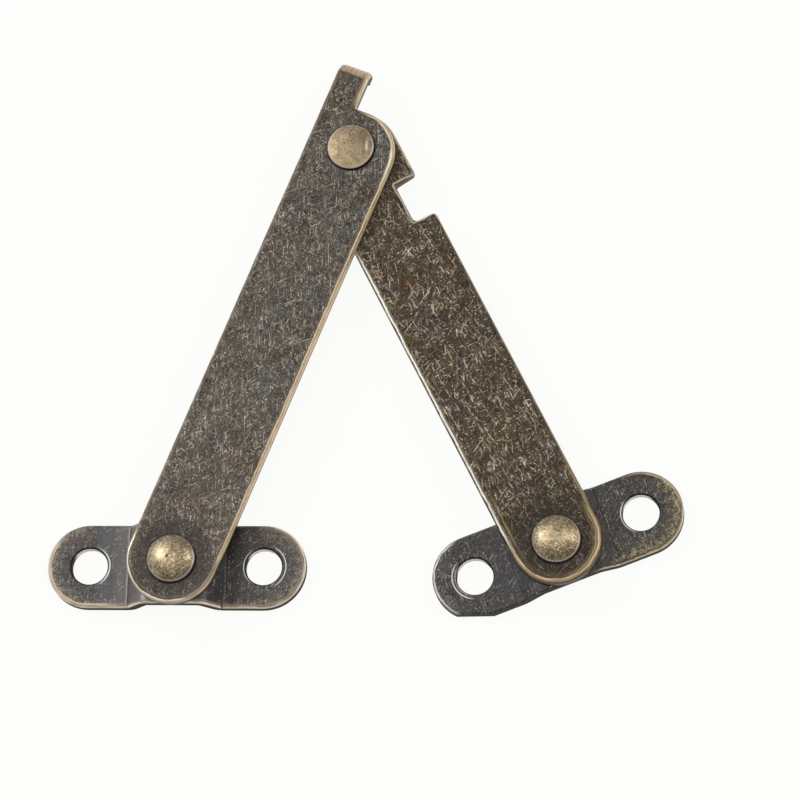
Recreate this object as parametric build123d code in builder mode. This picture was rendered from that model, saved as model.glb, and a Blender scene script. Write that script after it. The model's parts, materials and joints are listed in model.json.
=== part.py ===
from build123d import *
import os
from math import atan2, cos, hypot, radians, sin, sqrt, tan

# A folding lid stay for a small box. Two flat arms are riveted together at an elbow, and each
# arm's other end is riveted to a joggled base plate with two screw holes. A tab folded down
# from the end of the hook arm drops into a notch in the other arm's edge and stops the elbow.
#
# Millimetres. Both base plates are screwed down on the plane Z = 0, with Z pointing out of it.
# The origin is on that plane under the left pivot, and X runs along the left base plate.

# Sheet and fits
sheet = 1.2  # thickness of the arms and the base plates
play = 0.05  # free height between two sheets that turn on each other
shank_radius = 1.25
running_gap = 0.05  # radial, round a shank that turns
seat_gap = 0.02  # radial, round a shank that is held fast
edge_roll = 0.45  # on the upper side only, as a press leaves it
plate_bevel = 0.25
hole_bevel = 0.2

# Base plates
plate_length = 29.8
plate_width = 9.7
screw_pitch = 20.1
screw_hole_radius = 2.1
bend_round = 0.5  # inside radius of a plate's bends
left_ramp = (4.9, 3.0)  # half lengths at the ramp's bottom and top, on the underside
right_ramp = (5.6, 3.4)
nick_start = (-13.7, -3.3)  # a flat on one corner of the right base plate
nick_end = (-9.6, -4.85)

# Arms
arm_pitch = 52.7  # from pivot to pivot
arm_width = 10.5
pivot_reach = 5.1  # from a pivot's axis to the round end of its arm
elbow_reach = 4.7  # from the elbow's axis to an arm's blunt end
elbow_round = 5.1  # corner radius of that end
tongue_width = 3.85
tongue_reach = 9.65  # from the elbow's axis to the outer face of the folded tab
fold_round = 0.3  # inside radius of the fold
tab_corner_round = 0.6
root_round = 0.4
notch_near_mouth = 5.95  # from the elbow's axis to the notch's near wall at its mouth
notch_near_floor = 6.25
notch_far = 11.2
notch_depth = 2.7
mouth_round = 0.5
near_floor_round = 0.3
far_floor_round = 0.6

# Rivets
dome_radius = 2.75
dome_height = 1.3
dome_lip = 0.2  # upright edge of the head under the dome
button_radius = 2.7
button_height = 0.65
button_lip = 0.35
lip_bevel = 0.12
tail_radius = 2.0
tail_height = 0.8

# How the stay lies: directions in the XY plane, in degrees from X
hook_direction = 69.1  # from the left pivot to the elbow
elbow_angle = 48.9  # between the two arms
right_plate_turn = 21.9

# Height of each sheet's underside and top
right_rise = sheet
notched_base = right_rise + sheet + play
notched_top = notched_base + sheet
hook_base = notched_top + play
hook_top = hook_base + sheet
left_rise = hook_base - play - sheet

# Pivot axes
notched_direction = hook_direction + 180 + elbow_angle
left_pivot = Vector(0, 0, 0)
elbow = left_pivot + Vector(arm_pitch, 0, 0).rotate(Axis.Z, hook_direction)
right_pivot = elbow + Vector(arm_pitch, 0, 0).rotate(Axis.Z, notched_direction)


def level_plane(point, angle, height=0):
    """Level plane at a height over a point, with its X turned about Z."""
    heading = Vector(cos(radians(angle)), sin(radians(angle)), 0)
    return Plane(origin=point + Vector(0, 0, height), x_dir=heading, z_dir=(0, 0, 1))


def upright_plane(frame):
    """Upright plane through a level one's X, with the height as its Y."""
    return Plane(origin=frame.origin, x_dir=frame.x_dir, z_dir=-frame.y_dir)


def upper_rims(piece):
    """Edges where a blank's upright walls meet its upper side."""
    walls = piece.faces().filter_by(lambda face: abs(face.normal_at().Z) < 0.01)
    upper_side = piece.faces().filter_by(lambda face: face.normal_at().Z > 0.01)
    return walls.edges() & upper_side.edges()


def roll_rims(blank, plain_end=None):
    """Ease a flat blank's upper rims with two flats, except where it ends along plain_end."""
    flat = edge_roll * (sqrt(2) - 1)
    middle = edge_roll * (1 - sqrt(0.5))
    steep_cut = (flat, edge_roll)
    shallow_cut = (edge_roll - flat, hypot(middle, flat - middle))
    for along_top, along_side in (steep_cut, shallow_cut):
        top = blank.faces().sort_by(Axis.Z)[-1]
        rims = top.outer_wire().edges()
        if plain_end:
            rims -= blank.faces().sort_by(plain_end)[-1].edges()
        chamfer(rims, along_top, along_side, reference=top)


def corners_near(sketch, points):
    """A symmetrical sketch's corners at the given points and at their mirror images across Y."""
    corners = sketch.vertices()
    return [corners.sort_by_distance((side * x, y))[0] for x, y in points for side in (-1, 1)]


def base_plate(frame, rise, ramp, nick):
    """Joggled plate: two feet on the mounting surface and a raised centre for the rivet."""
    foot, top = ramp
    end = plate_length / 2
    lean = sheet * tan(atan2(rise, foot - top) / 2)
    lower_line = [(top, rise), (foot, 0), (end, 0)]
    upper_line = [(end, sheet), (foot + lean, sheet), (top + lean, rise + sheet)]
    right_half = lower_line + upper_line
    left_half = [(-x, y) for x, y in reversed(right_half)]
    screws = [(-screw_pitch / 2, 0), (screw_pitch / 2, 0)]
    clear_height = rise + 2 * sheet
    with BuildPart() as plate:
        with BuildSketch(upright_plane(frame)) as profile:
            with BuildLine():
                Polyline(*right_half, *left_half, close=True)
            make_face()
            fillet(corners_near(profile, [lower_line[0], upper_line[1]]), bend_round)
            fillet(corners_near(profile, [lower_line[1], upper_line[2]]), bend_round + sheet)
        extrude(amount=plate_width, both=True)
        with BuildSketch(frame):
            SlotOverall(plate_length, plate_width)
            if nick:
                with BuildLine():
                    Polyline(*nick, close=True)
                make_face(mode=Mode.SUBTRACT)
        extrude(amount=clear_height, mode=Mode.INTERSECT)
        chamfer(upper_rims(plate), plate_bevel)
        with BuildSketch(frame):
            with Locations(*screws):
                Circle(screw_hole_radius)
            Circle(shank_radius + seat_gap)
        extrude(amount=clear_height, mode=Mode.SUBTRACT)
        round_edges = plate.edges().filter_by(GeomType.CIRCLE)
        hole_rims = round_edges.filter_by(lambda rim: abs(rim.radius - screw_hole_radius) < 0.01)
        chamfer(hole_rims.group_by(Axis.Z)[-1], hole_bevel)
    return plate


def rivet(point, grip_base, grip_top, head_radius, head_height, head_lip):
    """Rivet with a crowned head over the sheets it grips and a flattened tail under them."""
    frame = level_plane(point, 0)
    head_rise = head_height - head_lip
    head_crown = (head_radius**2 + head_rise**2) / (2 * head_rise)
    with BuildPart() as pin:
        with BuildSketch(upright_plane(frame)) as profile:
            with BuildLine():
                outline = Polyline(
                    (0, grip_base - tail_height),
                    (tail_radius, grip_base - tail_height),
                    (tail_radius, grip_base),
                    (shank_radius, grip_base),
                    (shank_radius, grip_top),
                    (head_radius, grip_top),
                    (head_radius, grip_top + head_lip),
                )
                crown = RadiusArc(outline @ 1, (0, grip_top + head_height), -head_crown)
                Line(crown @ 1, outline @ 0)
            make_face()
            lip = profile.vertices().sort_by_distance((head_radius, grip_top + head_lip))[0]
            chamfer(lip, lip_bevel)
        revolve(axis=Axis(frame.origin, (0, 0, 1)))
    return pin


left_base_plate = base_plate(level_plane(left_pivot, 0), left_rise, left_ramp, None)
left_base_plate.part.label = "left_base_plate"

worn_corner = [nick_start, nick_end, (nick_start[0], nick_end[1])]
right_frame = level_plane(right_pivot, right_plate_turn)
right_base_plate = base_plate(right_frame, right_rise, right_ramp, worn_corner)
right_base_plate.part.label = "right_base_plate"

# Hook arm: round at the left pivot and blunt at the elbow. A tongue runs on past the elbow
# along one side, and its end folds down through the notched arm's layer.
half_width = arm_width / 2
blunt_end = arm_pitch + elbow_reach
tongue_side = half_width - tongue_width
fold_radius = fold_round + sheet / 2
fold_corner = arm_pitch + tongue_reach - sheet / 2
hook_frame = level_plane(left_pivot, hook_direction, hook_base)
hook_axis = Axis(hook_frame.origin, hook_frame.x_dir)
with BuildPart() as hook_arm:
    with BuildSketch(hook_frame):
        with BuildLine():
            near_side = FilletPolyline(
                (0, -half_width),
                (blunt_end, -half_width),
                (blunt_end, tongue_side),
                (fold_corner - fold_radius, tongue_side),
                radius=(elbow_round, root_round),
            )
            tongue_end = Line(near_side @ 1, (fold_corner - fold_radius, half_width))
            far_side = Line(tongue_end @ 1, (0, half_width))
            ThreePointArc(far_side @ 1, (-pivot_reach, 0), near_side @ 0)
        make_face()
    extrude(amount=sheet)
    roll_rims(hook_arm, plain_end=hook_axis)
    tongue_tip = hook_arm.faces().sort_by(hook_axis)[-1]
    with BuildLine(upright_plane(hook_frame)) as fold:
        bend = JernArc((fold_corner - fold_radius, sheet / 2), (1, 0), fold_radius, -90)
        Line(bend @ 1, (fold_corner, notched_base - hook_base))
    sweep(sections=tongue_tip, path=fold.wires()[0])
    tab_end = hook_arm.faces().sort_by(Axis.Z)[0]
    fillet(tab_end.edges().filter_by(hook_axis), tab_corner_round)
    with BuildSketch(hook_frame):
        with Locations((0, 0)):
            Circle(shank_radius + running_gap)
        with Locations((arm_pitch, 0)):
            Circle(shank_radius + seat_gap)
    extrude(amount=sheet, mode=Mode.SUBTRACT)

hook_arm.part.label = "hook_arm"

# Notched arm: blunt at the elbow, round at the right pivot, notched in its outer edge
notched_frame = level_plane(elbow, notched_direction, notched_base)
with BuildPart() as notched_arm:
    with BuildSketch(notched_frame):
        with BuildLine():
            sides = FilletPolyline(
                (arm_pitch, -half_width),
                (-elbow_reach, -half_width),
                (-elbow_reach, half_width),
                (notch_near_mouth, half_width),
                (notch_near_floor, half_width - notch_depth),
                (notch_far, half_width - notch_depth),
                (notch_far, half_width),
                (arm_pitch, half_width),
                radius=(
                    elbow_round,
                    elbow_round,
                    mouth_round,
                    near_floor_round,
                    far_floor_round,
                    mouth_round,
                ),
            )
            ThreePointArc(sides @ 1, (arm_pitch + pivot_reach, 0), sides @ 0)
        make_face()
    extrude(amount=sheet)
    roll_rims(notched_arm)
    with BuildSketch(notched_frame):
        with Locations((0, 0), (arm_pitch, 0)):
            Circle(shank_radius + running_gap)
    extrude(amount=sheet, mode=Mode.SUBTRACT)

notched_arm.part.label = "notched_arm"

# Rivets: the pivot rivets are fast in the base plates, and the elbow rivet in the hook arm
left_pivot_rivet = rivet(left_pivot, left_rise, hook_top + play, dome_radius, dome_height, dome_lip)
left_pivot_rivet.part.label = "left_pivot_rivet"

elbow_base = notched_base - play
elbow_rivet = rivet(elbow, elbow_base, hook_top, button_radius, button_height, button_lip)
elbow_rivet.part.label = "elbow_rivet"

right_pivot_rivet = rivet(right_pivot, right_rise, notched_top + play, dome_radius, dome_height, dome_lip)
right_pivot_rivet.part.label = "right_pivot_rivet"

os.makedirs("parts", exist_ok=True)
export_step(left_base_plate.part, "parts/left_base_plate.step")
export_step(right_base_plate.part, "parts/right_base_plate.step")
export_step(hook_arm.part, "parts/hook_arm.step")
export_step(notched_arm.part, "parts/notched_arm.step")
export_step(left_pivot_rivet.part, "parts/left_pivot_rivet.step")
export_step(elbow_rivet.part, "parts/elbow_rivet.step")
export_step(right_pivot_rivet.part, "parts/right_pivot_rivet.step")
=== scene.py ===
import json
from math import atan2, cos, radians, sin

import bpy
from mathutils import Matrix, Vector


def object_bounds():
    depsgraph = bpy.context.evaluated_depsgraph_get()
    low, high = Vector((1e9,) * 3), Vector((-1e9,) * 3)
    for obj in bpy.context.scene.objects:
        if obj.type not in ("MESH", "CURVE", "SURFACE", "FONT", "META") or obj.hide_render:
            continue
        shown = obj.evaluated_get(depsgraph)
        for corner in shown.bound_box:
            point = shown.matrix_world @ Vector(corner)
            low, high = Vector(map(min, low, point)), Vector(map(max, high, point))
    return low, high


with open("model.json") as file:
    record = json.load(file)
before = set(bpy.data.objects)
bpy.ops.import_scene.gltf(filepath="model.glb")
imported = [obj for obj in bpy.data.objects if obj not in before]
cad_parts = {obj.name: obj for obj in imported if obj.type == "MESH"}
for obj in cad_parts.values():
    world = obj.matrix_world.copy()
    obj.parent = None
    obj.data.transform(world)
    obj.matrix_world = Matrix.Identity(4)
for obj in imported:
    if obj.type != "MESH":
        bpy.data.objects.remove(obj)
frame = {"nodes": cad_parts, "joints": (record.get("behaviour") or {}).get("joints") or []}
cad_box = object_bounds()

MM = 0.001
PIVOTS = {joint["name"]: Vector(joint["pos_m"]) for joint in frame["joints"]}

# Shapes that the wear follows, in millimetres. Each piece has its own X and Y: an arm's run from
# one of its pivots, with X towards the other, and a plate's from its pivot, with X along the plate.
ARM_PITCH = round((PIVOTS["elbow"] - PIVOTS["left_pivot"]).xy.length / MM, 1)
ARM_HALF = 5.25  # half of an arm's width
ARM_END = (ARM_PITCH - 3.7, ARM_PITCH + 0.3)  # where the wear of an arm's far end sets in
ELBOW_REACH = 4.7  # from the elbow's axis to an arm's blunt end
ELBOW_ROUND = 5.1  # corner radius of that end
TONGUE_ROOT = ARM_PITCH + ELBOW_REACH
TONGUE_SIDE = 1.4  # Y of the tongue's inner edge
FOLD = 60.9  # X at which the tongue turns down
NOTCH = (6.1, 11.2, 2.55)  # X of the notch's two walls, and Y of its floor
PLATE_HALF = 4.85  # half of a base plate's width
SCREW = 10.05  # from a plate's middle to a screw hole's
SCREW_HOLE = 2.1  # radius
LEFT_RAMP = 5.5  # X at which the left plate's ramps meet its feet
RIGHT_RAMP = 6.0
RIGHT_PLATE_TURN = radians(21.9)
END_SQUASH = 1.03  # an arm's half width over the reach of its round end
DOME = 2.75  # radius of the two pivot rivets' heads
BUTTON = 2.7  # radius of the elbow rivet's head

WHITE = (1.0, 1.0, 1.0, 1.0)
BACKDROP = (1.0, 1.0, 0.985, 1.0)


# ---------------------------------------------------------------- colours and node building

def tone(red, green, blue):
    """Linear colour for a screen colour given in 0 to 255."""
    return tuple((part / 255) ** 2.2 for part in (red, green, blue)) + (1.0,)


def plug(tree, value, socket):
    """Link an output to a socket, or set the socket to a plain value."""
    if isinstance(value, bpy.types.NodeSocket):
        tree.links.new(value, socket)
    else:
        socket.default_value = value


class Graph:
    """Short calls for the nodes of one material."""

    def __init__(self, name):
        self.material = bpy.data.materials.new(name)
        self.material.use_nodes = True
        self.tree = self.material.node_tree
        self.tree.nodes.clear()

    def node(self, kind, **settings):
        made = self.tree.nodes.new(kind)
        for key, value in settings.items():
            setattr(made, key, value)
        return made

    def math(self, operation, *values):
        made = self.node("ShaderNodeMath", operation=operation)
        for value, socket in zip(values, made.inputs):
            plug(self.tree, value, socket)
        return made.outputs[0]

    def add(self, first, second):
        return self.math("ADD", first, second)

    def minus(self, first, second):
        return self.math("SUBTRACT", first, second)

    def times(self, *values):
        total = values[0]
        for value in values[1:]:
            total = self.math("MULTIPLY", total, value)
        return total

    def most(self, *values):
        total = values[0]
        for value in values[1:]:
            total = self.math("MAXIMUM", total, value)
        return total

    def least(self, *values):
        total = values[0]
        for value in values[1:]:
            total = self.math("MINIMUM", total, value)
        return total

    def line(self, value, slope, start):
        """A value times a slope, plus a start."""
        return self.math("MULTIPLY_ADD", value, slope, start)

    def over(self, value, limit):
        """How far a value is above a limit, or 0."""
        return self.most(self.minus(value, limit), 0.0)

    def under(self, value, limit):
        """How far a value is below a limit, or 0."""
        return self.most(self.minus(limit, value), 0.0)

    def join(self, *parts):
        """A vector of up to three parts, the missing ones 0."""
        made = self.node("ShaderNodeCombineXYZ")
        for part, socket in zip(parts, made.inputs):
            plug(self.tree, part, socket)
        return made.outputs[0]

    def span(self, first, second):
        """Length of the diagonal of two lengths."""
        length = self.node("ShaderNodeVectorMath", operation="LENGTH")
        plug(self.tree, self.join(first, second), length.inputs[0])
        return length.outputs["Value"]

    def smooth(self, value, low, high):
        """0 below low and 1 above high, or the other way round, with an eased step between."""
        made = self.node("ShaderNodeMapRange", interpolation_type="SMOOTHSTEP")
        plug(self.tree, value, made.inputs["Value"])
        made.inputs["From Min"].default_value = min(low, high)
        made.inputs["From Max"].default_value = max(low, high)
        made.inputs["To Min"].default_value = float(low > high)
        made.inputs["To Max"].default_value = float(low < high)
        return made.outputs["Result"]

    def between(self, value, low, high, ease):
        """1 where a value is from low to high, eased on both sides."""
        rise = self.smooth(value, low - ease, low + ease)
        return self.times(rise, self.smooth(value, high + ease, high - ease))

    def mix(self, share, first, second):
        """The first colour where the share is 0, and the second where it is 1."""
        made = self.node("ShaderNodeMix", data_type="RGBA")
        plug(self.tree, share, made.inputs["Factor"])
        plug(self.tree, first, made.inputs[6])
        plug(self.tree, second, made.inputs[7])
        return made.outputs[2]

    def place(self, vector, offset=(0, 0, 0), turn=0.0, scale=(1, 1, 1)):
        """Coordinates measured from a point, turned about Z and scaled."""
        shifted = self.node("ShaderNodeVectorMath", operation="SUBTRACT")
        plug(self.tree, vector, shifted.inputs[0])
        shifted.inputs[1].default_value = offset
        turned = self.node("ShaderNodeVectorRotate", rotation_type="Z_AXIS")
        plug(self.tree, shifted.outputs[0], turned.inputs["Vector"])
        turned.inputs["Angle"].default_value = -turn
        scaled = self.node("ShaderNodeVectorMath", operation="MULTIPLY")
        plug(self.tree, turned.outputs[0], scaled.inputs[0])
        scaled.inputs[1].default_value = scale
        return scaled.outputs[0]

    def noise_outputs(self, vector, scale, detail=2.0, roughness=0.5):
        made = self.node("ShaderNodeTexNoise")
        plug(self.tree, vector, made.inputs["Vector"])
        made.inputs["Scale"].default_value = scale
        made.inputs["Detail"].default_value = detail
        made.inputs["Roughness"].default_value = roughness
        return made.outputs

    def noise(self, vector, **settings):
        """Cloudy values round 0.5."""
        return self.noise_outputs(vector, **settings)["Fac"]

    def noise_color(self, vector, **settings):
        """Three cloudy values at once, as the channels of a colour."""
        return self.noise_outputs(vector, **settings)["Color"]

    def split(self, vector):
        made = self.node("ShaderNodeSeparateXYZ")
        plug(self.tree, vector, made.inputs[0])
        return made.outputs

    def channels(self, color):
        made = self.node("ShaderNodeSeparateColor")
        plug(self.tree, color, made.inputs[0])
        return made.outputs

    def surface(self, color, metallic, roughness, normal):
        shader = self.node("ShaderNodeBsdfPrincipled")
        plug(self.tree, color, shader.inputs["Base Color"])
        plug(self.tree, metallic, shader.inputs["Metallic"])
        plug(self.tree, roughness, shader.inputs["Roughness"])
        plug(self.tree, normal, shader.inputs["Normal"])
        out = self.node("ShaderNodeOutputMaterial")
        self.tree.links.new(shader.outputs[0], out.inputs["Surface"])
        return self.material

    def own_millimetres(self, origin, turn):
        """Coordinates in millimetres from a point of the frame, with X turned about Z."""
        where = self.node("ShaderNodeTexCoord")
        scaled = self.node("ShaderNodeVectorMath", operation="SCALE")
        plug(self.tree, where.outputs["Object"], scaled.inputs[0])
        scaled.inputs["Scale"].default_value = 1 / MM
        return self.place(scaled.outputs[0], tuple(origin / MM), turn)

    def softened_normal(self, radius_mm):
        made = self.node("ShaderNodeBevel", samples=6)
        made.inputs["Radius"].default_value = radius_mm * MM
        return made.outputs[0]

    def bumped(self, height, strength, depth_mm, normal):
        made = self.node("ShaderNodeBump")
        made.inputs["Strength"].default_value = strength
        made.inputs["Distance"].default_value = depth_mm * MM
        plug(self.tree, height, made.inputs["Height"])
        plug(self.tree, normal, made.inputs["Normal"])
        return made.outputs[0]

    def facing_up(self):
        """1 where the surface faces up, 0 on upright walls and -1 on undersides."""
        geometry = self.node("ShaderNodeNewGeometry")
        return self.split(geometry.outputs["True Normal"])[2]

    def wall(self):
        """1 on upright walls and 0 elsewhere."""
        return self.smooth(self.math("ABSOLUTE", self.facing_up()), 0.2, 0.05)

    def upper(self):
        """0 on undersides and 1 elsewhere."""
        return self.smooth(self.facing_up(), -0.6, -0.3)


# ---------------------------------------------------------------- marks

def streaks(graph, local, turn, length, width, rarity, seed):
    """Faint uneven strokes in one direction."""
    size = (1 / length, 1 / width, 0.1)
    stretched = graph.place(local, offset=(seed, 2 * seed, 0), turn=radians(turn), scale=size)
    strokes = graph.noise(stretched, scale=1.0, detail=1.5, roughness=0.6)
    return graph.smooth(strokes, rarity, rarity + 0.14)


def cell_marks(graph, vector, scale, share, full, far, near):
    """Marks in the middle of some cells of a random pattern, each of its own strength.

    share is how many of the cells have one, and full is the part of those where it isn't faded.
    A mark is whole within near of its cell's middle and gone past far.
    """
    cells = graph.node("ShaderNodeTexVoronoi", voronoi_dimensions="2D")
    plug(graph.tree, vector, cells.inputs["Vector"])
    cells.inputs["Scale"].default_value = scale
    chance, force = graph.channels(cells.outputs["Color"])[:2]
    kept = graph.smooth(chance, 1.0 - share, 1.0 - share * full)
    strength = graph.line(force, 0.8, 0.2)
    return graph.times(graph.smooth(cells.outputs["Distance"], far, near), kept, strength)


def hairs(graph, local, turn, length, width, share, seed):
    """Sparse thin scratches in one direction."""
    size = (1 / length, 1 / width, 1.0)
    stretched = graph.place(local, offset=(3 * seed, seed, 0), turn=radians(turn), scale=size)
    return cell_marks(graph, stretched, scale=1.0, share=share, full=0.7, far=0.42, near=0.24)


def specks(graph, local, share):
    """Small bright dots."""
    return cell_marks(graph, local, scale=2.6, share=share, full=0.6, far=0.27, near=0.15)


def bent_coordinates(graph, local, drift):
    """Coordinates that wander sideways by up to a drift, so that strokes aren't quite straight."""
    bend = graph.node("ShaderNodeVectorMath", operation="MULTIPLY_ADD")
    plug(graph.tree, graph.noise_color(local, scale=0.5, detail=1.0), bend.inputs[0])
    bend.inputs[1].default_value = (drift, drift, 0.0)
    plug(graph.tree, local, bend.inputs[2])
    return bend.outputs[0]


def mark_field(graph, local, look):
    """All the fine marks of a flat, from 0 to 1."""
    bent = bent_coordinates(graph, local, drift=0.35)
    soft = [
        streaks(graph, bent, turn, length, width, rarity, 4.3 * count + 1.0)
        for count, (turn, length, width, rarity) in enumerate(look["streaks"])
    ]
    sharp = [
        hairs(graph, bent, turn, length, width, share, 2.9 * count + 1.7)
        for count, (turn, length, width, share) in enumerate(look["hairs"])
    ]
    # the marks gather in patches, and the scratches are broken up
    gathered = graph.line(graph.noise(local, scale=0.6), 2.6, -0.6)
    thick = graph.least(graph.most(gathered, 0.25), 1.0)
    broken = graph.smooth(graph.noise(local, scale=3.2, detail=1.0), 0.36, 0.52)
    faint = graph.times(graph.most(*soft), thick, look["soft"])
    crisp = graph.times(graph.most(*sharp), graph.line(thick, 0.75, 0.32), broken, look["sharp"])
    dots = graph.times(specks(graph, local, look["specks"]), graph.line(thick, 0.6, 0.4), 0.9)
    return graph.most(faint, crisp, dots)


# ---------------------------------------------------------------- outlines, as distances in from the edge

def hook_inset(graph, x, y):
    """The hook arm: a shank with corners at the elbow, and the tongue past them."""
    shank = graph.minus(ARM_HALF, graph.span(graph.times(graph.under(x, 0.0), END_SQUASH), y))
    corner_x = graph.over(x, TONGUE_ROOT - ELBOW_ROUND)
    corner_y = graph.under(y, ELBOW_ROUND - ARM_HALF)
    corner = graph.minus(ELBOW_ROUND, graph.span(corner_x, corner_y))
    tongue = graph.least(graph.minus(ARM_HALF, y), graph.minus(y, TONGUE_SIDE), graph.minus(x, ARM_PITCH))
    return graph.most(graph.least(shank, corner), tongue)


def notched_inset(graph, x, y):
    """The notched arm: a shank with corners at the elbow, and the notch cut out."""
    near, far, floor = NOTCH
    shank = graph.minus(ARM_HALF, graph.span(graph.times(graph.over(x, ARM_PITCH), END_SQUASH), y))
    corner_x = graph.under(x, ELBOW_ROUND - ELBOW_REACH)
    corner_y = graph.over(graph.math("ABSOLUTE", y), ARM_HALF - ELBOW_ROUND)
    corner = graph.minus(ELBOW_ROUND, graph.span(corner_x, corner_y))
    beside = graph.most(graph.under(x, near), graph.over(x, far))
    return graph.least(shank, corner, graph.span(beside, graph.under(y, floor)))


def plate_inset(graph, x, y):
    """A base plate, straight between its screw holes and round past them."""
    return graph.minus(PLATE_HALF, graph.span(graph.over(graph.math("ABSOLUTE", x), SCREW), y))


# ---------------------------------------------------------------- plated steel

def dark_plating(graph, local, look):
    """Dark plating whose tone wanders, and the fine speckled grain in it."""
    slow = graph.noise(local, scale=0.22, detail=3.0, roughness=0.6)
    elsewhere = graph.place(local, offset=(5, 9, 0))
    patch = graph.noise(elsewhere, scale=0.9, detail=4.0, roughness=0.65)
    grain = graph.noise(local, scale=5.5, detail=1.5, roughness=0.6)
    color = graph.mix(graph.smooth(slow, 0.38, 0.62), look["cool"], look["warm"])
    color = graph.mix(graph.smooth(patch, 0.45, 0.7), color, look["deep"])
    clouds = graph.channels(graph.noise_color(local, scale=0.8, detail=3.0))
    for cloud, tint in zip(clouds, look["tints"]):
        color = graph.mix(graph.times(graph.smooth(cloud, 0.56, 0.74), look["tint_share"]), color, tint)
    color = graph.mix(graph.times(graph.smooth(grain, 0.49, 0.68), look["grain"]), color, look["light"])
    color = graph.mix(graph.times(graph.smooth(grain, 0.51, 0.34), look["grain"]), color, look["dark"])
    return color, grain


def banded_rim(graph, color, rubbed, inset, local, upper, bands):
    """Lay rim bands, painted highlights and shade on rubbed metal, over a colour: each is (from, to,
    colour, where, strength).

    from and to are millimetres in from the edge, and where is a mask. Returns the colour and how
    far each place is rubbed.
    """
    ragged = graph.minus(graph.noise(local, scale=0.7, detail=4.0, roughness=0.6), 0.5)
    uneven = graph.add(inset, graph.times(ragged, 0.35))

    # the wear is drawn out along the rim
    x, y = graph.split(local)[:2]
    along = graph.join(graph.times(inset, 9.0), graph.times(x, 0.5), graph.times(y, 0.5))
    drawn = graph.noise(along, scale=1.0, detail=3.0, roughness=0.65)
    worn = graph.times(graph.line(graph.smooth(drawn, 0.36, 0.56), 0.48, 0.52), upper)
    for start, end, band_color, where, strength in bands:
        share = graph.between(uneven, start, end, 0.05)
        share = graph.times(share, where, worn, strength)
        color = graph.mix(share, color, band_color)
        rubbed = graph.most(rubbed, share)
    return color, rubbed


def wall_colors(graph, z, underside, pale, dark):
    """Sheared walls: pale above, dark along the bottom."""
    return graph.mix(graph.smooth(graph.minus(z, underside), 0.42, 0.26), pale, dark)


def rivet_contact_shadow(graph, color, x, y, upper, look):
    """Painted contact shadow: a dark ring round each rivet head, thicker on one side."""
    toward_x, toward_y = look["shadow_side"]
    for ring_x, radius in look["rings"]:
        beside = graph.minus(x, ring_x)
        ring = graph.between(graph.span(beside, y), radius - 0.3, radius + 0.22, 0.12)
        toward = graph.add(graph.times(beside, toward_x), graph.times(y, toward_y))
        thickness = graph.line(graph.smooth(toward, -1.5, 2.5), 0.65, 0.3)
        color = graph.mix(graph.times(ring, upper, thickness), color, look["contact_shadow"])
    return color


def plated_arm(name, origin, turn, inset_of, rims_of, look):
    """Antique bronze plating on an arm: fine marks on the flat, and rubbed rims with painted highlights
    and painted shade.
    """
    graph = Graph(name)
    local = graph.own_millimetres(origin, turn)
    x, y, z = graph.split(local)
    inset = inset_of(graph, x, y)
    color, grain = dark_plating(graph, local, look)

    # quieter and darker round the pivot rivet
    away = graph.span(graph.minus(x, look["quiet_x"]), y)
    quiet = graph.smooth(away, look["quiet_reach"], 3.2)
    color = graph.mix(graph.times(quiet, 0.7), color, look["quiet_color"])

    upper = graph.upper()
    marks = graph.times(mark_field(graph, local, look), graph.line(quiet, -0.7, 1.0))
    marks = graph.times(marks, graph.line(upper, 0.5, 0.5))
    warmth = graph.smooth(graph.noise(local, scale=1.4), 0.4, 0.6)
    mark_color = graph.mix(warmth, look["mark"], look["mark_warm"])
    stain_x, stain_y = look["stain"]
    stain = graph.span(graph.minus(x, stain_x), graph.minus(y, stain_y))
    mark_color = graph.mix(graph.smooth(stain, 1.5, 0.7), mark_color, look["copper"])
    color = graph.mix(marks, color, mark_color)
    # a painted contact shadow round the rivet heads
    color = rivet_contact_shadow(graph, color, x, y, upper, look)
    # rubbed rims, laid out as painted highlight lines and painted shade
    color, rubbed = banded_rim(graph, color, 0.0, inset, local, upper, rims_of(graph, x, y))

    # walls: pale as a painted highlight on one side of the arm
    wall = graph.wall()
    pale = graph.mix(graph.smooth(y, *look["wall_side"]), look["wall_highlight"], look["wall"])
    pale = graph.mix(graph.between(x, *look["wall_reach"], 1.5), look["wall"], pale)
    color = graph.mix(wall, color, wall_colors(graph, z, look["underside"], pale, look["wall_dark"]))
    rubbed = graph.most(rubbed, wall)

    height = graph.add(graph.times(marks, -0.6), grain)
    rough = graph.add(graph.line(grain, 0.25, 0.3), graph.times(rubbed, 0.06))
    metallic = graph.line(rubbed, -0.45, 0.8)
    soft_normal = graph.softened_normal(radius_mm=0.1)
    normal = graph.bumped(height, strength=0.3, depth_mm=0.03, normal=soft_normal)
    return graph.surface(color, metallic, rough, normal)


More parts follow.
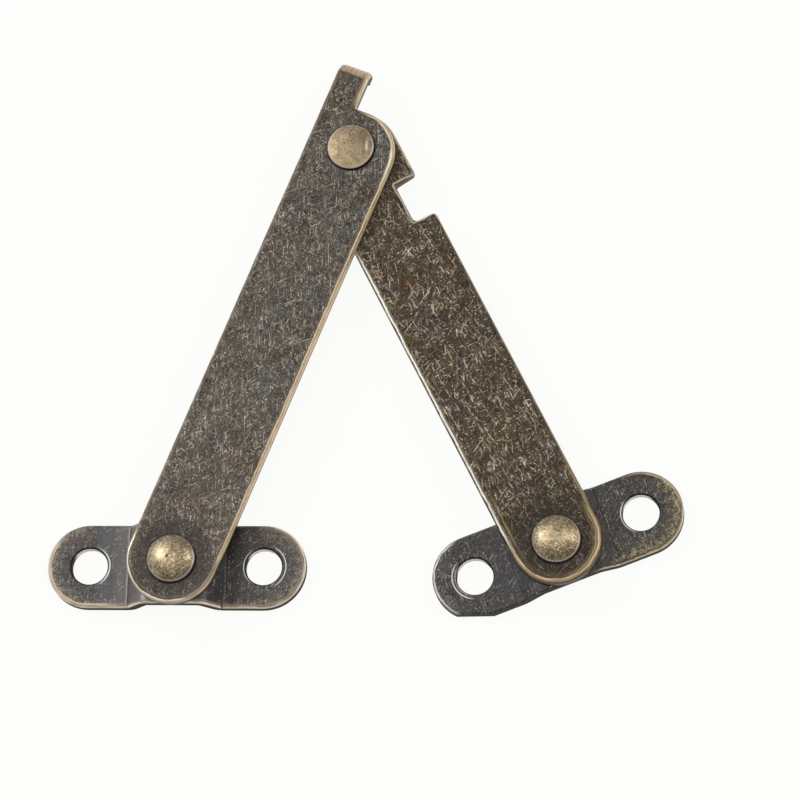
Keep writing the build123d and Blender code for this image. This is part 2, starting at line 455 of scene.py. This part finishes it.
def hook_rims(graph, x, y):
    """Rim bands of the hook arm, with left and right as the camera sees them; the pale bands and the fold
    are partly painted highlights, the dark ones painted shade.
    """
    right = graph.smooth(y, 1.5, -1.5)
    left = graph.minus(1.0, right)
    end = graph.smooth(x, 2.5, 0.0)
    end_left = graph.times(end, graph.smooth(y, -4.2, -2.6))
    end_right = graph.times(end, graph.smooth(y, -2.6, -4.2))
    shank = graph.minus(1.0, end)
    shank_left = graph.times(left, shank)
    shank_right = graph.times(right, shank)
    elbow_end = graph.times(right, graph.smooth(x, *ARM_END))
    tongue = graph.smooth(x, TONGUE_ROOT - 0.2, TONGUE_ROOT + 0.8)
    tongue = graph.times(tongue, graph.smooth(y, TONGUE_SIDE + 2.0, TONGUE_SIDE + 1.2))
    fold = graph.smooth(x, FOLD, FOLD + 0.5)
    return [
        (-1.0, 0.15, tone(198, 186, 156), shank_left, 1.0),
        (0.15, 0.50, tone(82, 70, 52), shank_left, 0.6),
        (-1.0, 0.12, tone(236, 212, 174), shank_right, 1.0),
        (0.12, 0.18, tone(196, 168, 134), shank_right, 1.0),
        (0.18, 0.33, tone(236, 212, 174), shank_right, 1.0),
        (0.33, 0.50, tone(120, 98, 74), shank_right, 0.9),
        (-1.0, 0.15, tone(196, 184, 162), end_left, 1.0),
        (0.15, 0.33, tone(255, 244, 222), end_left, 1.0),
        (0.33, 0.45, tone(76, 64, 48), end_left, 0.9),
        (0.45, 0.75, tone(120, 104, 78), end_left, 0.5),
        (-1.0, 0.18, tone(222, 204, 180), end_right, 1.0),
        (0.20, 0.48, tone(166, 146, 126), end_right, 1.0),
        (0.48, 0.70, tone(80, 68, 54), end_right, 0.6),
        (0.24, 0.46, tone(255, 244, 200), elbow_end, 1.0),
        (-1.0, 0.16, tone(240, 230, 200), tongue, 1.0),
        (0.16, 0.34, tone(212, 192, 152), tongue, 1.0),
        (0.34, 0.60, tone(146, 124, 96), tongue, 0.8),
        (-1.0, 9.0, tone(228, 202, 166), fold, 0.85),
    ]


def notched_rims(graph, x, y):
    """Rim bands of the notched arm, with left and right as the camera sees them; the pale bands are
    partly painted highlights, the dark ones painted shade.
    """
    right = graph.smooth(y, -1.5, 1.5)
    left = graph.minus(1.0, right)
    end = graph.smooth(x, *ARM_END)
    end_left = graph.times(end, graph.smooth(y, 1.0, -2.0))
    end_right = graph.times(end, graph.smooth(y, -2.0, 1.0))
    shank = graph.minus(1.0, end)
    shank_left = graph.times(left, shank)
    shank_right = graph.times(right, shank)
    near_end = graph.smooth(x, ARM_PITCH - 10.7, ARM_PITCH - 2.7)
    near_end_left = graph.times(near_end, shank_left)
    near_end_right = graph.times(near_end, shank_right)
    near, far = NOTCH[:2]
    elbow_end = graph.times(right, graph.smooth(x, near - 0.3, near - 1.5))
    notch = graph.times(graph.between(x, near - 0.5, far + 1.0, 0.4), graph.smooth(y, 1.0, 2.0))
    return [
        (-1.0, 0.15, tone(52, 45, 30), shank_left, 1.0),
        (0.15, 0.37, tone(255, 252, 236), shank_left, 1.0),
        (0.37, 0.55, tone(128, 114, 86), shank_left, 0.9),
        (0.80, 1.05, tone(176, 152, 100), near_end_left, 0.6),
        (-1.0, 0.16, tone(150, 136, 110), shank_right, 1.0),
        (0.16, 0.40, tone(100, 88, 66), shank_right, 0.6),
        (0.15, 0.40, tone(190, 168, 130), near_end_right, 0.8),
        (-1.0, 0.3, tone(206, 188, 162), elbow_end, 0.9),
        (-1.0, 0.11, tone(88, 76, 60), notch, 0.9),
        (0.11, 0.27, tone(226, 210, 184), notch, 0.9),
        (-1.0, 0.18, tone(100, 88, 70), end, 1.0),
        (0.18, 0.34, tone(176, 152, 118), end, 1.0),
        (0.34, 0.54, tone(228, 200, 158), end, 0.95),
        (0.54, 0.66, tone(116, 94, 66), end_right, 1.0),
        (0.66, 0.82, tone(192, 164, 122), end_right, 0.75),
        (0.60, 1.15, tone(106, 88, 62), end_left, 0.45),
        (0.90, 1.12, tone(108, 88, 60), end_right, 0.9),
    ]


def flecked(graph, color, rubbed, inset, local, upper, regions):
    """Rubbed flecks: each region is (where, reach, colour, crowding).

    They are crowded at the rim and gone at their reach, in millimetres in from it.
    """
    spots = graph.noise(local, scale=9.0, detail=2.0, roughness=0.7)
    clumps = graph.noise(local, scale=1.6, detail=2.0)
    spots = graph.line(clumps, 0.5, graph.minus(spots, 0.25))
    for where, reach, fleck_color, crowd in regions:
        nearness = graph.times(graph.smooth(inset, reach, 0.0), where)
        share = graph.smooth(graph.line(nearness, crowd, spots), 0.58, 0.76)
        share = graph.times(share, graph.least(graph.times(nearness, 4.0), 1.0), upper, 0.7)
        color = graph.mix(share, color, fleck_color)
        rubbed = graph.most(rubbed, share)
    return color, rubbed


def screw_hole_rims(graph, color, x, y, hole, highlight_arcs, look):
    """Painted shade on the eased rims, with thin painted highlight arcs: each is (side of the hole,
    direction, from, to).

    The side is -1 or 1, the direction in degrees, and from and to are out from the hole's edge.
    """
    color = graph.mix(graph.smooth(hole, 0.2, 0.06), color, look["hole_shade"])
    hole_x = graph.times(graph.minus(graph.math("ABSOLUTE", x), SCREW), graph.math("SIGN", x))
    for side, direction, start, end in highlight_arcs:
        ahead = graph.times(hole_x, cos(radians(direction)))
        aside = graph.times(y, sin(radians(direction)))
        facing = graph.smooth(graph.add(ahead, aside), 0.9, 2.0)
        where = graph.times(facing, graph.smooth(graph.times(x, side), -0.5, 0.5))
        highlight_arc = graph.times(graph.between(hole, start, end, 0.05), where)
        color = graph.mix(highlight_arc, color, look["hole_highlight"])
    return color


def ramp_bend_shading(graph, color, x, grain, foot, look):
    """Painted shade in the crease where each foot meets its ramp, deeper on the right, and a painted
    highlight beside it.
    """
    beside = graph.math("ABSOLUTE", x)
    depth = graph.times(graph.line(graph.smooth(x, -1.0, 1.0), 0.65, 0.35), look["crease_depth"])
    crease_shade = graph.between(beside, foot - 0.12, foot + 0.04, 0.06)
    color = graph.mix(graph.times(crease_shade, depth), color, look["crease_shade"])
    shine = graph.times(graph.between(beside, foot + 0.16, foot + 0.28, 0.06), depth)
    shine = graph.times(shine, graph.smooth(grain, 0.42, 0.6), 0.7)
    return graph.mix(shine, color, look["crease_highlight"])


def plated_plate(name, origin, turn, wear, look):
    """Darker plating on a base plate: smoother slate flats, mottled ends, pale thin rims that are partly
    painted highlights.
    """
    graph = Graph(name)
    local = graph.own_millimetres(origin, turn)
    x, y = graph.split(local)[:2]
    inset = plate_inset(graph, x, y)
    color, grain = dark_plating(graph, local, look)

    # painted sheen and painted shade: bands of lighter and darker tone across the feet and the ramps
    for start, end, sheen_shade_tone, strength in look["sheen_and_shade_bands"]:
        color = graph.mix(graph.times(graph.between(x, start, end, 0.7), strength), color, sheen_shade_tone)
    marks = mark_field(graph, local, look)
    color = graph.mix(graph.times(marks, 0.7), color, look["mark"])

    upper = graph.upper()
    color, rubbed = flecked(graph, color, 0.0, inset, local, upper, wear["flecks"](graph, x, y))
    # rim bands: painted highlight lines and painted shade on rubbed metal
    color, rubbed = banded_rim(graph, color, rubbed, inset, local, upper, wear["rims"](graph, x, y))

    hole = graph.span(graph.minus(graph.math("ABSOLUTE", x), SCREW), y)
    hole = graph.minus(hole, SCREW_HOLE)
    # painted shade on the screw hole rims, and thin painted highlight arcs
    color = screw_hole_rims(graph, color, x, y, hole, wear["highlight_arcs"], look)
    # painted shade in the ramp creases, and a painted highlight beside them
    color = ramp_bend_shading(graph, color, x, grain, wear["ramp_foot"], look)

    # walls: dark, and pale as a painted highlight only on the far side of each screw hole
    wall = graph.wall()
    far_side = graph.times(graph.smooth(hole, 0.4, 0.1), graph.smooth(y, 0.8, 1.6))
    color = graph.mix(wall, color, graph.mix(far_side, look["wall"], look["hole_wall_highlight"]))
    rubbed = graph.most(rubbed, wall)

    height = graph.add(graph.times(marks, -0.5), grain)
    rough = graph.add(graph.line(grain, 0.2, 0.3), graph.times(rubbed, 0.06))
    rough = graph.add(rough, graph.times(wall, 0.3))
    metallic = graph.line(rubbed, -0.3, 0.6)
    soft_normal = graph.softened_normal(radius_mm=0.1)
    normal = graph.bumped(height, strength=0.2, depth_mm=0.03, normal=soft_normal)
    return graph.surface(color, metallic, rough, normal)


def left_flecks(graph, x, y):
    """Flecked regions of the left base plate."""
    left_end = graph.smooth(x, -8.5, -11.0)
    right_end = graph.smooth(x, 8.5, 11.0)
    low = graph.smooth(y, 0.5, -2.5)
    return [
        (left_end, 2.2, tone(168, 156, 132), 0.16),
        (graph.times(low, graph.smooth(x, -4.5, -7.0)), 1.2, tone(172, 156, 132), 0.18),
        (right_end, 2.6, tone(156, 147, 126), 0.16),
        (graph.times(low, graph.smooth(x, 3.5, 6.0)), 1.2, tone(156, 142, 118), 0.18),
    ]


def left_rims(graph, x, y):
    """Rim bands of the left base plate: pale lines painted as highlights on the lower side and the ends,
    on rubbed metal.
    """
    left_end = graph.smooth(graph.add(x, graph.times(y, 0.8)), -9.5, -12.5)
    right_end = graph.smooth(x, 9.0, 12.0)
    low = graph.smooth(y, 1.5, -1.5)
    return [
        (0.2, 0.46, tone(150, 132, 110), graph.most(low, right_end), 0.8),
        (0.2, 0.5, tone(220, 200, 170), left_end, 0.8),
        (-1.0, 0.2, tone(242, 228, 208), graph.most(low, left_end, right_end), 1.0),
    ]


def right_flecks(graph, x, y):
    """Flecked regions of the right base plate."""
    right_end = graph.smooth(graph.minus(x, graph.times(y, 0.8)), 9.0, 13.0)
    low = graph.times(graph.smooth(y, 0.5, -2.5), graph.smooth(x, 4.0, 8.0))
    return [
        (graph.most(right_end, low), 3.0, tone(168, 152, 112), 0.16),
        (graph.most(right_end, low), 1.4, tone(214, 196, 150), 0.15),
        (graph.smooth(x, -10.0, -13.0), 1.6, tone(140, 134, 122), 0.12),
    ]


def right_rims(graph, x, y):
    """Rim bands of the right base plate: pale lines painted as highlights and dark lines painted as
    shade, on rubbed metal.
    """
    left_end = graph.smooth(graph.minus(x, graph.times(y, 0.3)), -11.5, -13.5)
    right_end = graph.smooth(x, 9.0, 12.0)
    low = graph.smooth(y, 1.0, -1.5)
    low_right = graph.times(low, graph.smooth(x, 2.0, 5.0))
    low_left = graph.times(low, graph.smooth(x, 5.0, 2.0))
    return [
        (-1.0, 0.10, tone(84, 78, 68), graph.most(left_end, right_end, low_left), 0.9),
        (0.10, 0.30, tone(246, 242, 230), left_end, 1.0),
        (0.12, 0.36, tone(206, 188, 152), right_end, 0.8),
        (-1.0, 0.17, tone(226, 212, 184), low_right, 1.0),
        (0.17, 0.45, tone(74, 62, 44), low_right, 0.8),
    ]


# ---------------------------------------------------------------- rivets

def rivet_head(name, centre, radius, look):
    """Worn gold rivet head: a mottled crown with painted highlight spots and painted shade, a thin pale
    rim painted as a highlight, and a dark edge.
    """
    graph = Graph(name)
    local = graph.own_millimetres(centre, 0.0)
    x, y = graph.split(local)[:2]
    reach = graph.span(x, y)
    blot = graph.noise(local, scale=0.9, detail=4.0, roughness=0.6)
    fine = graph.noise(local, scale=4.4, detail=4.0, roughness=0.8)
    color = graph.mix(graph.smooth(blot, 0.4, 0.62), look["base"], look["bright"])

    # painted shade: darker towards the edge and on the lower side
    edge = graph.smooth(reach, radius * 0.45, radius)
    low = graph.smooth(graph.minus(graph.times(x, 0.3), y), -radius * 0.1, radius * 0.9)
    shade = graph.times(graph.most(low, graph.times(edge, 0.6)), look["shade"])
    color = graph.mix(shade, color, look["low"])

    # spots: each is (centre as shares of the radius, size, colour, strength); the bright ones are painted
    # highlights and the dark ones marks
    for (spot_x, spot_y), (size_x, size_y), spot_color, strength in look["spots"]:
        away_x = graph.times(graph.minus(x, spot_x * radius), 1 / size_x)
        away_y = graph.times(graph.minus(y, spot_y * radius), 1 / size_y)
        broken = graph.line(fine, 1.2, graph.span(away_x, away_y))
        share = graph.smooth(broken, 1.5, 0.8)
        color = graph.mix(graph.times(share, strength), color, spot_color)
    color = graph.mix(graph.times(graph.smooth(fine, 0.48, 0.37), look["mottle"]), color, look["dark"])
    color = graph.mix(graph.times(graph.smooth(fine, 0.53, 0.63), look["mottle"]), color, look["spark"])

    # a pale rim line, a painted highlight, stronger on the lower side
    rim = graph.between(reach, radius - 0.15, radius - 0.01, 0.05)
    rim_side = graph.smooth(graph.minus(graph.times(x, 0.5), y), -2.4, 1.2)
    round_share = look["rim_round"]
    rim_share = graph.times(rim, graph.line(rim_side, 1 - round_share, round_share))
    color = graph.mix(rim_share, color, look["rim"])
    color = graph.mix(graph.wall(), color, look["side"])
    rough = graph.line(fine, 0.25, look["rough"])
    soft_normal = graph.softened_normal(radius_mm=0.08)
    normal = graph.bumped(fine, strength=look["mottle"] * 0.5, depth_mm=0.06, normal=soft_normal)
    return graph.surface(color, metallic=0.75, roughness=rough, normal=normal)


def dress(node, material):
    """Give a CAD node a material in all its slots."""
    for slot in frame["nodes"][node].material_slots:
        slot.material = material


elbow = PIVOTS["elbow"]
left_pivot = PIVOTS["left_pivot"]
right_pivot = PIVOTS["right_pivot"]
hook_line = elbow - left_pivot
notched_line = right_pivot - elbow
hook_turn = atan2(hook_line.y, hook_line.x)
notched_turn = atan2(notched_line.y, notched_line.x)

# Streaks are (direction, length, width, rarity) and hairs (direction, length, width, share of the
# cells that have one), with directions in degrees from the piece's own X, and millimetres.
hook_look = {
    "cool": tone(87, 85, 80),
    "warm": tone(91, 82, 73),
    "deep": tone(64, 57, 51),
    "light": tone(122, 116, 105),
    "dark": tone(42, 36, 31),
    "grain": 0.5,
    "tints": (tone(84, 68, 84), tone(70, 78, 62), tone(112, 78, 64)),
    "tint_share": 0.3,
    "mark": tone(214, 208, 192),
    "mark_warm": tone(196, 178, 154),
    "soft": 0.2,
    "sharp": 0.9,
    "specks": 0.3,
    "streaks": [
        (21, 1.4, 0.13, 0.56),
        (14, 0.9, 0.12, 0.58),
        (-30, 1.1, 0.12, 0.6),
        (58, 0.9, 0.12, 0.6),
        (-68, 0.8, 0.12, 0.62),
    ],
    "hairs": [
        (20, 1.9, 0.14, 0.19),
        (33, 1.3, 0.13, 0.14),
        (-42, 1.4, 0.13, 0.13),
        (72, 1.0, 0.13, 0.12),
        (-8, 1.0, 0.13, 0.15),
        (24, 5.0, 0.13, 0.07),
        (-50, 4.0, 0.13, 0.05),
    ],
    "quiet_x": 0.0,
    "quiet_reach": 6.4,
    "quiet_color": tone(60, 55, 52),
    # the rivet rings, and below them the side and colour of the painted contact shadow round them
    "rings": [(0.0, DOME), (ARM_PITCH, BUTTON)],
    "shadow_side": (-0.55, -0.83),
    "stain": (60.5, 4.4),
    "copper": tone(204, 176, 148),
    "contact_shadow": tone(28, 22, 20),
    "wall_side": (-2.0, 2.0),
    "wall_reach": (3.0, 62.0),
    "wall": tone(104, 92, 74),
    # a painted highlight on the walls of one side
    "wall_highlight": tone(238, 218, 192),
    "wall_dark": tone(60, 50, 40),
    "underside": -0.6,
}
notched_look = {
    "cool": tone(73, 64, 58),
    "warm": tone(77, 66, 50),
    "deep": tone(52, 45, 39),
    "light": tone(106, 93, 76),
    "dark": tone(32, 26, 21),
    "grain": 0.45,
    "tints": (tone(78, 60, 66), tone(76, 74, 46), tone(112, 78, 52)),
    "tint_share": 0.4,
    "mark": tone(236, 225, 206),
    "mark_warm": tone(214, 194, 158),
    "soft": 0.22,
    "sharp": 1.0,
    "specks": 0.34,
    "streaks": [
        (-26, 1.3, 0.13, 0.55),
        (4, 1.4, 0.12, 0.56),
        (-48, 0.9, 0.12, 0.58),
        (35, 0.8, 0.12, 0.6),
        (78, 0.8, 0.12, 0.6),
    ],
    "hairs": [
        (2, 1.9, 0.17, 0.15),
        (-20, 1.8, 0.17, 0.15),
        (22, 1.2, 0.15, 0.12),
        (-58, 1.1, 0.15, 0.11),
        (80, 0.9, 0.15, 0.1),
        (8, 4.0, 0.15, 0.07),
        (-62, 3.5, 0.15, 0.06),
    ],
    "quiet_x": ARM_PITCH,
    "quiet_reach": 9.5,
    "quiet_color": tone(54, 49, 44),
    # the rivet ring, and below it the side and colour of the painted contact shadow round it
    "rings": [(ARM_PITCH, DOME)],
    "shadow_side": (0.92, -0.38),
    "stain": (ARM_PITCH / 3, -ARM_HALF / 3),
    "copper": tone(208, 164, 120),
    "contact_shadow": tone(28, 22, 18),
    "wall_side": (-2.0, 2.0),
    "wall_reach": (-2.0, 48.0),
    "wall": tone(96, 86, 70),
    # a painted highlight on the walls of one side
    "wall_highlight": tone(232, 226, 200),
    "wall_dark": tone(48, 41, 33),
    "underside": -0.55,
}
left_look = {
    "cool": tone(84, 83, 84),
    "warm": tone(84, 78, 72),
    "deep": tone(66, 62, 60),
    "light": tone(112, 107, 102),
    "dark": tone(48, 44, 42),
    "grain": 0.6,
    "tints": (tone(82, 70, 88), tone(72, 82, 76), tone(104, 82, 70)),
    "tint_share": 0.3,
    "mark": tone(206, 198, 188),
    "soft": 0.25,
    "sharp": 0.9,
    "specks": 0.3,
    "streaks": [(86, 1.2, 0.13, 0.6), (30, 1.2, 0.13, 0.62), (-35, 1.0, 0.13, 0.62)],
    "hairs": [(88, 1.8, 0.15, 0.1), (40, 1.5, 0.15, 0.1)],
    # painted sheen on the left foot and its ramp, and painted shade on the right wing beside the arm
    "sheen_and_shade_bands": [
        (-9.0, -7.4, tone(99, 99, 101), 0.75),
        (-7.2, -5.5, tone(116, 112, 109), 0.75),
        (-5.5, -2.6, tone(140, 137, 136), 0.8),
        (3.0, 7.4, tone(56, 51, 52), 0.6),
    ],
    # painted shade in the ramp creases, and a painted highlight beside them
    "crease_depth": 1.0,
    "crease_shade": tone(26, 22, 22),
    "crease_highlight": tone(158, 140, 134),
    # painted shade on the hole rims, painted highlight arcs, and a painted highlight on the far hole
    # walls
    "hole_shade": tone(36, 32, 30),
    "hole_highlight": tone(222, 216, 208),
    "hole_wall_highlight": tone(252, 250, 244),
    "wall": tone(46, 38, 30),
}
right_look = dict(
    left_look,
    cool=tone(74, 73, 75),
    warm=tone(73, 67, 62),
    # painted sheen on the left foot
    sheen_and_shade_bands=[(-8.0, -4.5, tone(77, 76, 78), 0.5)],
    crease_depth=0.25,
)
left_wear = {
    "flecks": left_flecks,
    "rims": left_rims,
    "ramp_foot": LEFT_RAMP,
    # arcs of painted highlight at the screw holes
    "highlight_arcs": [(-1, 0, 0.2, 0.36), (1, 180, 0.15, 0.25), (1, 0, 0.42, 0.54)],
}
right_wear = {
    "flecks": right_flecks,
    "rims": right_rims,
    "ramp_foot": RIGHT_RAMP,
    # arcs of painted highlight at the screw holes
    "highlight_arcs": [(-1, 185, 0.1, 0.2), (-1, 185, 0.42, 0.56), (1, 180, 0.12, 0.26)],
}

dress(
    "hook_arm",
    plated_arm("hook_plating", left_pivot, hook_turn, hook_inset, hook_rims, hook_look),
)
dress(
    "notched_arm",
    plated_arm("notched_plating", elbow, notched_turn, notched_inset, notched_rims, notched_look),
)
dress(
    "left_base_plate",
    plated_plate("left_plating", left_pivot, 0.0, left_wear, left_look),
)
dress(
    "right_base_plate",
    plated_plate("right_plating", right_pivot, RIGHT_PLATE_TURN, right_wear, right_look),
)

dome_look = {
    "base": tone(172, 151, 116),
    "bright": tone(210, 190, 150),
    # the next two set the colour and strength of the painted shade towards the edge and the lower side
    "low": tone(116, 97, 76),
    "shade": 0.8,
    "dark": tone(68, 52, 32),
    "spark": tone(255, 243, 214),
    "mottle": 0.8,
    "rim": tone(232, 216, 206),
    "rim_round": 0.35,
    "side": tone(40, 33, 28),
    "rough": 0.3,
    # spots: painted highlights on the left and right, and a dark mark near the middle
    "spots": [
        ((-0.4, 0.1), (0.8, 0.8), tone(244, 224, 178), 0.6),
        ((-0.1, 0.0), (0.34, 0.3), tone(78, 64, 32), 0.9),
        ((0.75, 0.0), (0.3, 0.6), tone(230, 214, 184), 0.7),
    ],
}
right_dome_look = dict(
    dome_look,
    # spots: painted highlights on the left and right
    spots=[
        ((-0.6, 0.0), (0.45, 0.9), tone(236, 216, 184), 0.75),
        ((0.4, 0.2), (0.6, 1.0), tone(232, 208, 156), 0.7),
    ],
)
button_look = {
    "base": tone(150, 131, 102),
    "bright": tone(180, 161, 131),
    # the next two set the colour and strength of the painted shade towards the edge and the lower side
    "low": tone(148, 130, 98),
    "shade": 0.4,
    "dark": tone(108, 90, 66),
    "spark": tone(212, 196, 168),
    "mottle": 0.7,
    "rim": tone(226, 212, 200),
    "rim_round": 0.8,
    "side": tone(40, 33, 28),
    "rough": 0.3,
    # spots: a painted highlight on the right, and a dark mark
    "spots": [
        ((0.7, 0.0), (0.28, 1.1), tone(255, 238, 206), 0.9),
        ((-0.25, 0.1), (0.22, 0.22), tone(100, 80, 52), 0.7),
    ],
}
dress("left_pivot_rivet", rivet_head("left_dome", left_pivot, DOME, dome_look))
dress("right_pivot_rivet", rivet_head("right_dome", right_pivot, DOME, right_dome_look))
dress("elbow_rivet", rivet_head("elbow_button", elbow, BUTTON, button_look))


# ---------------------------------------------------------------- floor, light and camera

def pale_floor():
    """A wide pale floor just under the base plates, white to the camera and in reflections."""
    half = 600 * MM
    drop = 0.02 * MM
    paint = (0.86, 0.86, 0.85, 1.0)
    seen_white = 0.94
    mesh = bpy.data.meshes.new("floor")
    corners = [(-half, -half, -drop), (half, -half, -drop), (half, half, -drop), (-half, half, -drop)]
    mesh.from_pydata(corners, [], [(0, 1, 2, 3)])
    floor = bpy.data.objects.new("floor", mesh)
    bpy.context.scene.collection.objects.link(floor)

    graph = Graph("floor_paint")
    matte = graph.node("ShaderNodeBsdfDiffuse")
    matte.inputs["Color"].default_value = paint
    glow = graph.node("ShaderNodeEmission")
    glow.inputs["Color"].default_value = BACKDROP
    glow.inputs["Strength"].default_value = 1.0
    path = graph.node("ShaderNodeLightPath")
    rays = [path.outputs[f"Is {kind} Ray"] for kind in ("Camera", "Glossy", "Transmission")]
    blend = graph.node("ShaderNodeMixShader")
    plug(graph.tree, graph.times(graph.most(*rays), seen_white), blend.inputs[0])
    graph.tree.links.new(matte.outputs[0], blend.inputs[1])
    graph.tree.links.new(glow.outputs[0], blend.inputs[2])
    out = graph.node("ShaderNodeOutputMaterial")
    graph.tree.links.new(blend.outputs[0], out.inputs["Surface"])
    mesh.materials.append(graph.material)


def white_world(strength):
    """White light of a given strength from all round, and a white backdrop for the camera."""
    world = bpy.data.worlds.new("studio")
    world.use_nodes = True
    tree = world.node_tree
    tree.nodes.clear()
    light = tree.nodes.new("ShaderNodeBackground")
    light.inputs["Color"].default_value = WHITE
    light.inputs["Strength"].default_value = strength
    backdrop = tree.nodes.new("ShaderNodeBackground")
    backdrop.inputs["Color"].default_value = BACKDROP
    backdrop.inputs["Strength"].default_value = 1.0
    path = tree.nodes.new("ShaderNodeLightPath")
    blend = tree.nodes.new("ShaderNodeMixShader")
    tree.links.new(path.outputs["Is Camera Ray"], blend.inputs[0])
    tree.links.new(light.outputs[0], blend.inputs[1])
    tree.links.new(backdrop.outputs[0], blend.inputs[2])
    out = tree.nodes.new("ShaderNodeOutputWorld")
    tree.links.new(blend.outputs[0], out.inputs["Surface"])
    bpy.context.scene.world = world


def softbox(name, place, target, width, height, watts):
    """A rectangular lamp that faces the target."""
    lamp = bpy.data.lights.new(name, "AREA")
    lamp.shape = "RECTANGLE"
    lamp.size = width
    lamp.size_y = height
    lamp.energy = watts
    box = bpy.data.objects.new(name, lamp)
    box.location = place
    box.rotation_euler = (target - Vector(place)).to_track_quat("-Z", "Y").to_euler()
    bpy.context.scene.collection.objects.link(box)


def photo_camera(target, lean, swing, roll, distance, lens):
    """Camera above the target, leaned towards -Y and swung towards +X, then rolled."""
    back = Vector((sin(swing), -sin(lean) * cos(swing), cos(lean) * cos(swing)))
    side = Vector((0, 1, 0)).cross(back).normalized()
    up = back.cross(side)
    right = side * cos(roll) + up * sin(roll)
    above = up * cos(roll) - side * sin(roll)
    data = bpy.data.cameras.new("camera")
    data.lens = lens
    data.sensor_width = 36.0
    data.clip_start = 0.05
    data.clip_end = 10.0
    camera = bpy.data.objects.new("camera", data)
    turned = Matrix((right, above, back)).transposed().to_4x4()
    camera.matrix_world = Matrix.Translation(target + back * distance) @ turned
    bpy.context.scene.collection.objects.link(camera)
    bpy.context.scene.camera = camera


middle = (cad_box[0] + cad_box[1]) / 2
pale_floor()
white_world(strength=0.28)
softbox("key_light", (-0.35, 0.24, 0.38), middle, width=0.3, height=0.3, watts=1.55)
softbox("fill_light", (0.46, 0.12, 0.29), middle, width=0.2, height=0.4, watts=0.75)
softbox("top_light", (0.02, -0.12, 0.7), middle, width=0.5, height=0.5, watts=1.2)

photo_camera(
    target=Vector((25.153, 19.517, 2.0)) * MM,
    lean=radians(16.563),
    swing=radians(6.666),
    roll=radians(1.872),
    distance=476.6 * MM,
    lens=187.44,
)
bpy.context.scene.view_settings.view_transform = "Standard"
